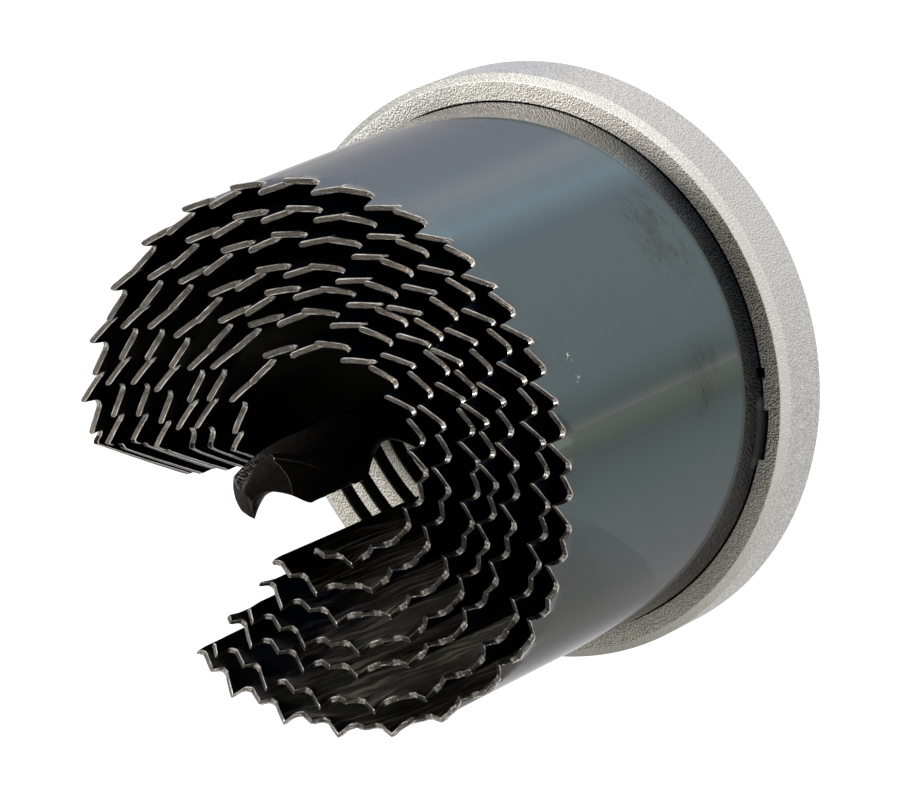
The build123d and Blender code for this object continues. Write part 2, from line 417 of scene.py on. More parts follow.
@dataclass(frozen=True)
class BluedOutside(Finish):
    """Polished and blued outer face of a saw band.

    The temper colours and painted sheen bands, which stand for reflected lights, change round
    the axis. A painted reflection of the holder lies on the steel beside it, up to a soft
    edge that falls off with the place across and up.
    """

    name: str = "blued_outside"
    smudge: Colour = (0.36, 0.34, 0.40)
    stain: Colour = (0.80, 0.72, 0.64)
    # Colour of a painted shade patch beside the seam.
    grime: Colour = (0.085, 0.085, 0.085)
    bronze: Colour = (0.70, 0.69, 0.62)
    scratch: Colour = (0.75, 0.72, 0.66)
    brush: Colour = (0.5, 0.5, 0.5)
    # cast is the tint of a painted shadow near the holder's face.
    cast: Colour = (0.2, 0.24, 0.34)
    edge_tint: Colour = (0.55, 0.55, 0.57)
    roughness: float = 0.06
    cloud_scale: float = 60.0
    cloud_sway: float = 1.5
    brush_share: float = 0.12
    bronze_edge: tuple[float, float, float] = (45.5, 1.25, 0.0098)
    bronze_least: float = 0.48
    bronze_run: float = 16.0
    stain_share: float = 0.8
    smudge_share: float = 0.5
    scratch_share: float = 0.8
    grime_angle: float = -5.0
    grime_half: float = 7.5
    polish_reach: float = 66.0
    polish_across: float = 510.0
    polish_up: float = 280.0
    polish_angle: float = 25.0
    polish_half: float = 84.0
    cast_share: float = 0.75
    brush_depth: float = 0.000001
    # Temper colours round the axis, with painted sheen bands that stand for reflected lights.
    temper: tuple[tuple[float, Colour], ...] = (
        (-180.0, (0.150, 0.160, 0.170)),
        (-56.0, (0.115, 0.112, 0.108)),
        (-50.0, (0.092, 0.082, 0.074)),
        (-42.0, (0.122, 0.109, 0.094)),
        (-38.0, (0.150, 0.138, 0.122)),
        (-33.0, (0.205, 0.206, 0.195)),
        (-20.0, (0.179, 0.199, 0.202)),
        (-5.0, (0.143, 0.175, 0.179)),
        (2.0, (0.124, 0.157, 0.157)),
        (6.5, (0.111, 0.133, 0.132)),
        (8.0, (0.106, 0.126, 0.116)),
        (11.0, (0.136, 0.161, 0.142)),
        (12.9, (0.146, 0.164, 0.146)),
        (13.9, (0.114, 0.126, 0.118)),
        (15.8, (0.078, 0.098, 0.098)),
        (22.0, (0.104, 0.132, 0.137)),
        (45.0, (0.118, 0.149, 0.155)),
        (54.0, (0.117, 0.152, 0.165)),
        (61.0, (0.179, 0.243, 0.275)),
        (64.0, (0.176, 0.227, 0.250)),
        (70.0, (0.232, 0.260, 0.277)),
        (76.0, (0.183, 0.215, 0.243)),
        (92.0, (0.180, 0.200, 0.238)),
        (103.0, (0.161, 0.159, 0.178)),
        (112.0, (0.185, 0.178, 0.190)),
        (180.0, (0.150, 0.160, 0.170)),
    )
    # Colours of the painted reflection of the holder, by angle.
    handled: tuple[tuple[float, Colour], ...] = (
        (-180.0, (0.320, 0.310, 0.300)),
        (-45.0, (0.320, 0.310, 0.300)),
        (-30.0, (0.270, 0.270, 0.265)),
        (-10.0, (0.220, 0.230, 0.235)),
        (20.0, (0.175, 0.190, 0.205)),
        (50.0, (0.190, 0.210, 0.240)),
        (59.0, (0.400, 0.440, 0.460)),
        (72.0, (0.420, 0.420, 0.410)),
        (80.0, (0.600, 0.590, 0.580)),
        (92.0, (0.850, 0.840, 0.820)),
        (180.0, (0.850, 0.840, 0.820)),
    )
    marks: tuple[Mark, ...] = (
        Mark(44.0, 9.5, 10.0, 4.0),
        Mark(12.0, 12.0, 7.0, 3.0),
        Mark(96.0, 8.0, 8.0, 5.0),
    )
    scratches: tuple[Mark, ...] = (
        Mark(27.5, 36.8, 0.9, 0.5),
        Mark(23.0, 36.4, 0.8, 0.4),
    )

    def paint(self, graph: Graph) -> None:
        """Fill the material's tree.

        Args:
            graph: The graph to write in.
        """
        vector, angle, _, ahead = around(graph)
        cloud = graph.noise(vector, self.cloud_scale, 3.0)
        # Painted sheen: the temper ramp lays bands of reflected light round the axis.
        colour = graph.ramp_round(angle + (cloud - 0.5) * self.cloud_sway, self.temper)
        lines = graph.noise(graph.vector(angle * 0.02, ahead * 5.0, 0.0), 1.0, 4.0, 0.65)
        colour = graph.tint(lines.rise(0.3, 0.7) * self.brush_share, colour, self.brush)
        colour = self.bronzed(graph, angle, ahead, colour)
        # Painted reflection of the holder on the steel beside it.
        colour = self.polish(graph, vector, angle, ahead, colour)
        zone = self.zones(self.marks, angle, ahead)
        stain = graph.noise(graph.vector(angle * 0.16, ahead * 0.35, 7.0), 1.0, 4.0, 0.6)
        stain = stain.rise(0.40, 0.66) * zone
        colour = graph.tint(stain * self.stain_share, colour, self.stain)
        dirt = graph.noise(graph.vector(angle * 0.3, ahead * 1.6, 0.0), 1.0, 6.0, 0.7)
        dirt = dirt.rise(0.52, 0.66) * zone
        colour = graph.tint(dirt * self.smudge_share, colour, self.smudge)
        curl = graph.noise(graph.vector(angle * 0.5, ahead * 0.9, 3.0), 1.0, 1.0)
        hair = 1.0 - (curl - 0.5).size().rise(0.004, 0.016)
        hair = hair * self.zones(self.scratches, angle, ahead)
        colour = graph.mix(hair * self.scratch_share, colour, self.scratch)
        fine = graph.noise(graph.vector(angle * 0.1, ahead * 30.0, 0.0), 1.0, 2.0)
        # Painted shade: a dull, dark, matt patch beside the seam near the lug's pocket.
        dull = angle.band(self.grime_angle, self.grime_half, 2.0) * (1.0 - ahead.rise(0.8, 1.7))
        colour = graph.mix(dull, colour, self.grime)
        graph.polished(
            {
                "Base Color": colour,
                "Metallic": 1.0 - dull * 0.9,
                "Specular Tint": self.edge_tint,
                "Roughness": self.roughness + dirt * 0.15 + hair * 0.2,
                "Normal": graph.bump(fine, self.brush_depth, 0.4),
            }
        )

    def bronzed(self, graph: Graph, angle: Signal, ahead: Signal, colour: Signal) -> Signal:
        """Turn the blue to bronze towards the teeth at the band's lower side.

        Args:
            graph: The graph to write in.
            angle: Angle in degrees.
            ahead: Distance in front of the face in millimetres.
            colour: Colour below.

        Returns:
            The colour.
        """
        level, slope, bend = self.bronze_edge
        past = ahead - (angle * slope + angle * angle * bend + level)
        brown = past.rise(-0.3, 0.5) * (1.0 - angle.rise(-8.0, 0.0))
        least = self.bronze_least
        deep = least + past.rise(0.0, self.bronze_run) * (1.0 - least)
        return graph.tint(brown * deep, colour, self.bronze)

    @staticmethod
    def zones(marks: Iterable[Mark], angle: Signal, ahead: Signal) -> Signal:
        """Join windows round some marks.

        Args:
            marks: The marks.
            angle: Angle in degrees.
            ahead: Distance in front of the face in millimetres.

        Returns:
            A signal that is 1 at the marks.
        """
        parts = []
        for mark in marks:
            side = angle.band(mark.angle, mark.half_angle, mark.half_angle)
            parts.append(side * ahead.band(mark.ahead, mark.half_ahead, mark.half_ahead))
        return sum(parts)

    def polish(
        self, graph: Graph, vector: Signal, angle: Signal, ahead: Signal, colour: Signal
    ) -> Signal:
        """Paint a reflection of the holder onto the steel beside it.

        Args:
            graph: The graph to write in.
            vector: Place in metres.
            angle: Angle in degrees.
            ahead: Distance in front of the face in millimetres.
            colour: Colour below.

        Returns:
            The colour.
        """
        x, _, z = graph.parts(vector)
        # reach, near and steel mark out and colour the painted reflection of the holder.
        reach = self.polish_reach / (x * self.polish_across + z * self.polish_up)
        near = 1.0 - (ahead - reach).rise(-0.3, 0.2)
        near = near * angle.band(self.polish_angle, self.polish_half, 6.0)
        steel = graph.ramp_round(angle, self.handled)
        # Painted shadow: a blue tint laid on the reflection near the face, on the upper right.
        shadow = (1.0 - ahead.rise(0.0, 5.0)) * angle.band(22.0, 42.0, 26.0)
        steel = graph.tint(shadow * self.cast_share, steel, self.cast)
        return graph.mix(near, colour, steel)


@dataclass(frozen=True)
class ShadedBlue(Finish):
    """Blued steel of the bands that stand inside the widest one, painted a deeper blue as shade."""

    name: str = "shaded_blue"
    navy: Colour = (0.045, 0.065, 0.12)
    night: Colour = (0.02, 0.025, 0.04)
    edge_tint: Colour = (0.22, 0.26, 0.34)
    roughness: float = 0.3
    cloud_scale: float = 300.0

    def paint(self, graph: Graph) -> None:
        """Fill the material's tree.

        Args:
            graph: The graph to write in.
        """
        cloud = graph.noise(graph.place(), self.cloud_scale, 3.0)
        colour = graph.mix(cloud.rise(0.4, 0.7) * 0.5, self.navy, self.night)
        graph.polished(
            {
                "Base Color": colour,
                "Metallic": 1.0,
                "Specular Tint": self.edge_tint,
                "Roughness": self.roughness,
            }
        )


@dataclass(frozen=True)
class DarkInside(Finish):
    """Dull, almost black oxide on the inner face of a band."""

    name: str = "dark_inside"
    black: Colour = (0.012, 0.011, 0.011)
    brown: Colour = (0.055, 0.046, 0.040)
    bare: Colour = (0.80, 0.68, 0.54)
    roughness: float = 0.34
    sway_scale: float = 130.0
    sway: float = 4.0
    bare_angle: float = -62.0
    bare_half: float = 36.0

    def paint(self, graph: Graph) -> None:
        """Fill the material's tree.

        Args:
            graph: The graph to write in.
        """
        vector, angle, radius, ahead = around(graph)
        sway = (graph.noise(vector, self.sway_scale, 2.0) - 0.5) * self.sway
        drift = angle * 0.42 + ahead * 0.14 + sway
        streak = graph.noise(graph.vector(drift, ahead * 0.09, radius * 0.4), 1.0, 5.0, 0.6)
        streak = streak.rise(0.46, 0.66) * angle.band(self.bare_angle, self.bare_half, 30.0)
        fine = graph.noise(graph.vector(angle * 0.05, ahead * 1.6, radius), 1.0, 4.0, 0.6)
        colour = graph.mix(fine.rise(0.5, 0.8), self.black, self.brown)
        colour = graph.mix(streak, colour, self.bare)
        graph.polished(
            {
                "Base Color": colour,
                "Metallic": 1.0,
                "Roughness": self.roughness + (fine - 0.5) * 0.2,
            }
        )


@dataclass(frozen=True)
class GroundEdge(Finish):
    """Bare ground steel on the edges of the teeth."""

    name: str = "ground_edge"
    steel: Colour = (0.28, 0.252, 0.222)
    shade: Colour = (0.085, 0.074, 0.062)
    pit_from: float = 0.52
    roughness: float = 0.34
    depth: float = 0.00001
    pit_scale: float = 4600.0
    pit_share: float = 0.85

    def paint(self, graph: Graph) -> None:
        """Fill the material's tree.

        Args:
            graph: The graph to write in.
        """
        vector, angle, radius, ahead = around(graph)
        along = graph.vector(angle * 0.15, ahead * 0.4, radius * 14.0)
        lines = graph.noise(along, 1.0, 3.0, 0.6)
        blot = graph.noise(vector, self.pit_scale, 3.0, 0.6)
        colour = graph.mix(lines.rise(0.35, 0.7), self.shade, self.steel)
        pits = blot.rise(self.pit_from - 0.04, self.pit_from + 0.1)
        colour = graph.mix(pits * self.pit_share, colour, self.shade)
        graph.polished(
            {
                "Base Color": colour,
                "Metallic": 1.0,
                "Roughness": self.roughness + (blot - 0.5) * 0.3,
                "Normal": graph.bump(lines * 0.4 + blot * 0.6, self.depth, 0.7),
            }
        )


@dataclass(frozen=True)
class BlastedAluminium(Finish):
    """Bead-blasted die casting with a bright turned bevel at its rim, with painted light and shade
    round the ring.
    """

    name: str = "blasted_aluminium"
    light: Colour = (0.86, 0.84, 0.785)
    dark: Colour = (0.33, 0.32, 0.295)
    # deep is the painted shade of the face's shaded zone.
    deep: Colour = (0.01, 0.009, 0.008)
    bright: Colour = (1.0, 1.0, 0.96)
    dull: Colour = (0.73, 0.72, 0.68)
    side: Colour = (0.88, 0.87, 0.84)
    side_dark: Colour = (0.48, 0.47, 0.45)
    # skin is the black of the painted shade in the grooves.
    skin: Colour = (0.006, 0.006, 0.006)
    # cool is the tint of a painted sheen on the rim's side at the top.
    cool: Colour = (0.72, 0.72, 0.78)
    metallic: float = 0.8
    face_roughness: float = 0.8
    side_roughness: float = 0.6
    bevel_roughness: float = 0.5
    grain: float = 4700.0
    # grain_step points towards the light of the painted grain shading.
    grain_step: tuple[float, float, float] = (-0.00005, -0.00002, 0.00006)
    grain_depth: float = 0.00016
    bevel_inner: float = 33.82
    bevel_depth: float = -0.93
    bevel_soft: float = 0.05
    groove_outer: float = 33.0
    groove_inner: float = 11.5
    groove_floor: float = -5.4
    # Painted light of the turned bevel, by angle round the ring.
    bevel_shine: tuple[tuple[float, Colour], ...] = (
        (-180.0, (0.50, 0.50, 0.50)),
        (-68.0, (0.42, 0.41, 0.38)),
        (-40.0, (0.69, 0.67, 0.63)),
        (0.0, (0.96, 0.94, 0.93)),
        (40.0, (1.00, 0.99, 0.98)),
        (60.0, (1.00, 1.00, 0.99)),
        (88.0, (0.77, 0.77, 0.75)),
        (104.0, (0.51, 0.51, 0.49)),
        (130.0, (0.32, 0.32, 0.31)),
        (180.0, (0.45, 0.45, 0.45)),
    )
    # Painted light and shade of the face, by angle round the ring.
    face_shine: tuple[tuple[float, Colour], ...] = (
        (-180.0, (0.80, 0.78, 0.74)),
        (-75.0, (1.00, 0.98, 0.94)),
        (-42.0, (0.80, 0.78, 0.74)),
        (-8.0, (1.00, 0.98, 0.96)),
        (14.0, (0.84, 0.80, 0.77)),
        (30.0, (0.84, 0.79, 0.75)),
        (44.0, (1.00, 0.97, 0.92)),
        (62.0, (0.82, 0.79, 0.77)),
        (80.0, (0.98, 0.97, 0.96)),
        (100.0, (0.87, 0.87, 0.86)),
        (130.0, (1.00, 1.00, 1.00)),
        (180.0, (0.80, 0.78, 0.74)),
    )

    def paint(self, graph: Graph) -> None:
        """Fill the material's tree.

        Args:
            graph: The graph to write in.
        """
        vector, angle, radius, ahead = around(graph)
        grain = graph.noise(vector, self.grain, 2.0, 0.6)
        step = {0: vector, 1: self.grain_step}
        beside = graph.node("ShaderNodeVectorMath", {"operation": "ADD"}, step)[0]
        # Painted shading: the grain minus itself shifted towards the light, so that it looks lit
        # from the upper left.
        relief = grain - graph.noise(beside, self.grain, 2.0, 0.6) + 0.5
        grain_shading = relief.rise(0.42, 0.58)
        pits = graph.noise(vector, self.grain * 0.45, 2.0)
        face = ahead.rise(-0.4, -0.1)
        # Painted shade on the face's right side, where the band's wall shades it.
        face_shade = angle.band(14.0, 30.0, 24.0)
        low = graph.mix(face_shade * 0.85, self.dark, self.deep)
        flat = graph.mix(grain_shading, low, self.light)
        # Painted light and shade: the face is lighter or darker by its angle round the ring.
        flat = graph.tint(1.0, flat, graph.ramp_round(angle, self.face_shine))
        rim = graph.mix(grain_shading, self.side_dark, self.side)
        # Painted sheen: a cool tint on the rim's side at the top, where a light above is reflected.
        top = angle.rise(72.0, 98.0) * (1.0 - angle.rise(140.0, 175.0))
        top = top * radius.rise(34.0, 34.4)
        rim = graph.tint(top, rim, self.cool)
        colour = graph.mix(face, rim, flat)
        bevel = self.bevel(graph, vector, radius, ahead)
        turned = graph.mix(grain_shading, self.dull, self.bright)
        # Painted light: the turned bevel is brightest at the right and upper right and dimmer
        # elsewhere.
        turned = graph.tint(1.0, turned, graph.ramp_round(angle, self.bevel_shine))
        colour = graph.mix(bevel, colour, turned)
        # Painted shade: the grooves below their lips are painted black and matt.
        inside = self.inside(radius, ahead)
        colour = graph.mix(inside, colour, self.skin)
        rough = self.side_roughness + face * (self.face_roughness - self.side_roughness)
        rough = rough + bevel * (self.bevel_roughness - rough)
        height = grain * 0.65 + pits * 0.35
        graph.polished(
            {
                "Base Color": colour,
                "Metallic": self.metallic - inside * self.metallic,
                "Roughness": rough + (pits - 0.5) * 0.1,
                "Normal": graph.bump(height, self.grain_depth, 0.9),
            }
        )

    def bevel(self, graph: Graph, vector: Signal, radius: Signal, ahead: Signal) -> Signal:
        """Find the turned bevel, with slightly ragged edges.

        Args:
            graph: The graph to write in.
            vector: Place in metres.
            radius: Radius in millimetres.
            ahead: Distance in front of the face in millimetres.

        Returns:
            A signal that is 1 on the bevel.
        """
        wander = (graph.noise(vector, 900.0, 2.0) - 0.5) * 0.16
        soft = self.bevel_soft
        outside = (radius + wander).rise(self.bevel_inner - soft, self.bevel_inner + soft)
        return outside * (ahead + wander).rise(self.bevel_depth - soft, self.bevel_depth + soft)

    def inside(self, radius: Signal, ahead: Signal) -> Signal:
        """Find the grooves below their lips, which are painted black as shade.

        Args:
            radius: Radius in millimetres.
            ahead: Distance in front of the face in millimetres.

        Returns:
            A signal that is 1 in the grooves.
        """
        below = ahead.rise(-0.12, -0.4) * ahead.rise(self.groove_floor - 0.3, self.groove_floor)
        within = 1.0 - radius.rise(self.groove_outer, self.groove_outer + 0.2)
        return below * within * radius.rise(self.groove_inner, self.groove_inner + 0.1)


@dataclass(frozen=True)
class BlackOxide(Finish):
    """Black oxide that is worn to grey towards the drill's point."""

    name: str = "black_oxide"
    black: Colour = (0.018, 0.016, 0.015)
    worn: Colour = (0.95, 0.88, 0.78)
    edge: Colour = (0.80, 0.74, 0.66)
    edge_tint: Colour = (0.25, 0.25, 0.25)
    roughness: float = 0.3
    grit_scale: float = 4200.0
    grit_depth: float = 0.00003
    worn_from: float = 48.5
    worn_full: float = 56.5
    worn_share: float = 0.75
    line_share: float = 0.8
    land: float = 3.75
    cones: tuple[tuple[Vector, Vector], ...] = ()
    cone_angle: float = 48.0
    line: float = 0.00008

    def paint(self, graph: Graph) -> None:
        """Fill the material's tree.

        Args:
            graph: The graph to write in.
        """
        vector, _, radius, ahead = around(graph)
        grit = graph.noise(vector, self.grit_scale, 3.0, 0.65)
        cloud = graph.noise(vector, 500.0, 3.0)
        point = ahead.rise(self.worn_from, self.worn_full)
        point = point * (1.0 - radius.rise(self.land, self.land + 0.08))
        wear = grit.rise(0.48, 0.72) * point * self.worn_share
        colour = graph.mix(wear + cloud.rise(0.55, 0.8) * 0.03, self.black, self.worn)
        for tip, axis in self.cones:
            edge = self.near_cone(graph, vector, tip, axis)
            colour = graph.mix(edge * self.line_share, colour, self.edge)
        graph.polished(
            {
                "Base Color": colour,
                "Metallic": 0.9,
                "Specular Tint": self.edge_tint,
                "Roughness": self.roughness + (grit - 0.5) * 0.3,
                "Normal": graph.bump(grit, self.grit_depth, 0.7),
            }
        )

    def near_cone(self, graph: Graph, place: Signal, tip: Vector, axis: Vector) -> Signal:
        """Thin line where a surface meets a ground cone.

        Args:
            graph: The graph to write in.
            place: Place in metres.
            tip: The cone's tip, in metres.
            axis: Direction of the cone's axis, from its tip on.

        Returns:
            A signal that is 1 within the line's width of the cone.
        """
        kind = "ShaderNodeVectorMath"
        away = graph.node(kind, {"operation": "SUBTRACT"}, {0: place, 1: tuple(tip)})[0]
        along = graph.node(kind, {"operation": "DOT_PRODUCT"}, {0: away, 1: tuple(axis)})[0]
        size = graph.node(kind, {"operation": "LENGTH"}, {0: away})[0]
        across = (size * size - along * along).root()
        half = math.radians(self.cone_angle)
        gap = across * math.cos(half) - along * math.sin(half)
        return 1.0 - gap.size().rise(self.line * 0.5, self.line)


@dataclass(frozen=True)
class GroundFlank(Finish):
    """Ground flank of the drill's point."""

    name: str = "ground_flank"
    steel: Colour = (0.055, 0.045, 0.038)
    shade: Colour = (0.036, 0.029, 0.024)
    edge_tint: Colour = (0.3, 0.29, 0.28)
    roughness: float = 0.4
    grit_scale: float = 3000.0
    grit_depth: float = 0.000006
    metallic: float = 0.9
    gloss: float = 0.3

    def paint(self, graph: Graph) -> None:
        """Fill the material's tree.

        Args:
            graph: The graph to write in.
        """
        grit = graph.noise(graph.place(), self.grit_scale, 3.0, 0.6)
        colour = graph.mix(grit.rise(0.35, 0.65), self.shade, self.steel)
        graph.polished(
            {
                "Base Color": colour,
                "Metallic": self.metallic,
                "Specular IOR Level": self.gloss,
                "Specular Tint": self.edge_tint,
                "Roughness": self.roughness + (grit - 0.5) * 0.2,
                "Normal": graph.bump(grit, self.grit_depth, 0.6),
            }
        )


@dataclass(frozen=True)
class DrawnSteel(Finish):
    """Bright drawn bar with faint lines along it."""

    name: str = "drawn_steel"
    steel: Colour = (0.50, 0.50, 0.51)
    shade: Colour = (0.30, 0.30, 0.31)
    roughness: float = 0.3
    line_scale: float = 6000.0
    line_length: float = 60.0
    line_depth: float = 0.000006

    def paint(self, graph: Graph) -> None:
        """Fill the material's tree.

        Args:
            graph: The graph to write in.
        """
        x, y, z = graph.parts(graph.place())
        scale = self.line_scale
        along = graph.vector(x * scale, y * self.line_length, z * scale)
        lines = graph.noise(along, 1.0, 3.0, 0.6)
        colour = graph.mix(lines.rise(0.35, 0.7), self.shade, self.steel)
        graph.polished(
            {
                "Base Color": colour,
                "Metallic": 1.0,
                "Roughness": self.roughness + (lines - 0.5) * 0.2,
                "Normal": graph.bump(lines, self.line_depth, 0.6),
            }
        )


def saw_place(x: float, y: float, ahead: float) -> Vector:
    """Place in the part's frame, in metres, of a point given across, up and ahead of the face."""
    return Vector((x * MM, (FACE_Y - ahead) * MM, y * MM))


def sharpen(data: bpy.types.Mesh, angle: float) -> None:
    """Shade a mesh smoothly, with sharp creases.

    Args:
        data: The mesh.
        angle: Angle in degrees over which an edge is a crease.
    """
    mesh = bmesh.new()
    mesh.from_mesh(data)
    limit = math.radians(angle)
    for face in mesh.faces:
        face.smooth = True
    for edge in mesh.edges:
        edge.smooth = edge.is_manifold and edge.calc_face_angle() < limit
    mesh.to_mesh(data)
    mesh.free()


def finish_mesh(
    name: str, mesh: bmesh.types.BMesh, finishes: Iterable[Finish], sharp: float = CREASE
) -> bpy.types.Object:
    """Turn a bmesh into an object with smooth faces and sharp creases.

    Args:
        name: Name of the object.
        mesh: The bmesh, which is freed.
        finishes: Finishes of its material slots, in order.
        sharp: Angle in degrees over which an edge stays sharp.

    Returns:
        The object, linked to the scene.
    """
    bmesh.ops.recalc_face_normals(mesh, faces=mesh.faces)
    data = bpy.data.meshes.new(name)
    mesh.to_mesh(data)
    mesh.free()
    sharpen(data, sharp)
    for finish in finishes:
        data.materials.append(finish.material())
    piece = bpy.data.objects.new(name, data)
    bpy.context.scene.collection.objects.link(piece)
    return piece


def cut_mesh(piece: bpy.types.Object, tool: bmesh.types.BMesh, cut: Cut) -> None:
    """Combine a piece's mesh with a tool's.

    Args:
        piece: The piece, whose mesh is replaced.
        tool: The tool, which is freed.
        cut: How they are combined.
    """
    bmesh.ops.recalc_face_normals(tool, faces=tool.faces)
    for face in tool.faces:
        face.smooth = True
    data = bpy.data.meshes.new("tool")
    tool.to_mesh(data)
    tool.free()
    cutter = bpy.data.objects.new("tool", data)
    bpy.context.scene.collection.objects.link(cutter)
    modifier = piece.modifiers.new("cut", "BOOLEAN")
    modifier.operation = cut.value
    modifier.solver = "EXACT"
    modifier.object = cutter
    graph = bpy.context.evaluated_depsgraph_get()
    result = bpy.data.meshes.new_from_object(piece.evaluated_get(graph))
    piece.modifiers.clear()
    piece.data = result
    bpy.data.objects.remove(cutter)


def report(piece: bpy.types.Object) -> None:
    """Log a piece's name and how many faces it has."""
    LOG.info("%s: %d faces", piece.name, len(piece.data.polygons))


@dataclass(frozen=True)
class ToothForm:
    """Sizes that all the bands' teeth share, in millimetres and degrees."""

    thickness: float = 0.7
    seat: float = -4.6
    depth: float = 2.4
    set_off: float = 0.6
    bend: float = 40.8
    gullet_radius: float = 0.6
    gullet_flat: float = 0.25
    gullet_steps: int = 6
    slope_steps: int = 8
    tip_run: float = 0.015
    tip_drop: float = 0.03
    tip_fall: float = 0.3
    rake_shares: tuple[float, ...] = (0.4, 0.7, 1.0)
    end_shares: tuple[float, ...] = (0.6, 0.35, 0.15, 0.04)
    wall_shares: tuple[float, ...] = (
        0.0, 0.012, 0.3, 0.6, 0.85, 0.9, 0.93, 0.955, 0.975, 0.988, 1.0
    )
    root_angle: float = 200.0
    tip_angle: float = 184.5
    slant: float = 25.5
    rake_run: float = 0.07
    edge_break: float = 0.09
    round_end: float = 0.3
    round_depth: float = 0.55
    burr: float = 0.02
    lug_angle: float = -5.5
    lug_width: float = 5.0
    lug_out: float = 0.55
    lug_top: float = -1.0
    lug_height: float = 2.2


@dataclass(frozen=True)
class Column:
    """Column of a saw band's strip.

    It has the arc from the straight end, the height of the edge, the set, the inset of
    the edge's sides, and whether it lies in a gullet.
    """

    arc: float
    height: float
    lean: float
    pinch: float = 0.0
    low: bool = False


@dataclass
class SawBand:
    """One split band with its set, ground teeth.

    Its fields are the diameter, the angle of the straight end, the arc from there to the
    first tooth, that tooth's side, the pitch, the lean of the toothed end, and how much
    of the straight end's teeth is left out.
    """

    diameter: float
    start: float
    first_tooth: float
    first_set: Set
    pitch: float
    lean: Point
    trim: float = 0.0
    form: ToothForm = field(default_factory=ToothForm)

    @property
    def node(self) -> str:
        """Name of the CAD node that this band stands for."""
        return f"saw_band_{self.diameter:.0f}"

    @property
    def middle(self) -> float:
        """Radius of the strip's middle."""
        return (self.diameter - self.form.thickness) / 2

    def arc(self, angle: float) -> float:
        """Arc length from the straight end to an angle."""
        return math.radians(angle - self.start) * self.middle

    def cell(self) -> list[Point]:
        """Profile of one tooth cell, from its left neighbour's tip to just before its own.

        Returns:
            Distance from the cell's left end, and height above the face.
        """
        form = self.form
        low = REACH - form.depth
        arc_from = low + form.gullet_radius
        rake = arc_from - REACH
        points = [(0.0, REACH - form.tip_drop), (form.tip_run, REACH - form.tip_fall)]
        points += [(form.rake_run * t, REACH + rake * t) for t in form.rake_shares]
        width = form.gullet_radius - form.rake_run
        for step in range(1, form.gullet_steps + 1):
            turn = math.pi / 2 * step / form.gullet_steps
            run = form.rake_run + width * (1 - math.cos(turn))
            points.append((run, arc_from - form.gullet_radius * math.sin(turn)))
        foot = form.gullet_radius + form.gullet_flat
        points.append((foot, low))
        rise = form.depth / (self.pitch - foot)
        last = self.pitch - form.round_end
        count = form.slope_steps
        runs = [foot + (last - foot) * step / count for step in range(1, count + 1)]
        runs += [self.pitch - form.round_end * share for share in form.end_shares]
        return points + [(run, low + rise * (run - foot)) for run in runs]

    def pinch(self, run: float) -> float:
        """How much each side of the edge is drawn in near a tip, so that its end is round.

        Args:
            run: Distance from the left tip of the cell.

        Returns:
            The inset in millimetres.
        """
        size = self.form.round_end
        gap = min(self.pitch - run, size)
        if run < self.form.rake_run:
            gap = 0.25 * size
        return size - math.sqrt(size * size - (size - gap) ** 2)

    def profile(self, rng: random.Random) -> list[Column]:
        """Columns of the strip from the straight end on.

        Args:
            rng: Source of the small differences between teeth.

        Returns:
            The columns, in order.
        """
        form = self.form
        tip_arc = self.arc(form.tip_angle)
        end = self.arc(form.root_angle)
        fall = 1 / math.tan(math.radians(form.slant))
        count = math.ceil((tip_arc - self.first_tooth) / self.pitch) + 3
        columns = []
        side = [self.tooth_side(k) * (1 + rng.uniform(-0.1, 0.1)) for k in range(-2, count + 1)]
        for k in range(-1, count):
            left = self.first_tooth + (k - 1) * self.pitch
            for run, height in self.cell():
                arc = left + run
                if not self.trim < arc < end - 0.3:
                    continue
                blend = smooth(run, form.rake_run, 1.25)
                lean = side[k + 1] * (1 - blend) + side[k + 2] * blend
                slant = REACH - (arc - tip_arc) * fall
                height += rng.uniform(-form.burr, 0.0)
                pinch = self.pinch(run) if height < slant else 0.0
                low = run < form.gullet_radius + form.gullet_flat + 0.1
                columns.append(Column(arc, min(height, slant), lean, pinch, low))
        return self.with_ends(columns, end, REACH - (end - tip_arc) * fall)

    def tooth_side(self, index: int) -> float:
        """Side to which a tooth is set, by its number from the straight end."""
        return float(self.first_set) if index % 2 == 0 else -float(self.first_set)

    @staticmethod
    def with_ends(columns: list[Column], end: float, low: float) -> list[Column]:
        """Add the end columns.

        Args:
            columns: Columns between the ends.
            end: Arc of the slanted end's foot.
            low: Height of the slanted end's foot.

        Returns:
            All columns.
        """
        first = Column(0.0, columns[0].height, columns[0].lean)
        last = Column(end, low, columns[-1].lean)
        return [first, *columns, last]

    def section(self, column: Column, inset: float, rng: random.Random) -> list[Point]:
        """Closed outline of the strip at one column.

        Args:
            column: The column.
            inset: How much each side is drawn in, at the strip's ends.
            rng: Source of the burrs.

        Returns:
            Radius and height of each point.
        """
        form = self.form
        height = column.height
        half = form.thickness / 2 - inset
        notch = form.edge_break
        low = form.seat + inset

        def radius(level: float, offset: float) -> float:
            """Radius at a level, with the teeth's set and the round end's inset.

            Args:
                level: Height above the face.
                offset: Distance outwards from the strip's middle.

            Returns:
                The radius in millimetres.
            """
            bent = max(0.0, level - form.bend) / (REACH - form.bend)
            near = max(0.0, 1.0 - (height - notch - level) / form.round_depth)
            drawn = offset - math.copysign(column.pinch * min(near, 1.0), offset)
            return self.middle + drawn + column.lean * form.set_off * bent

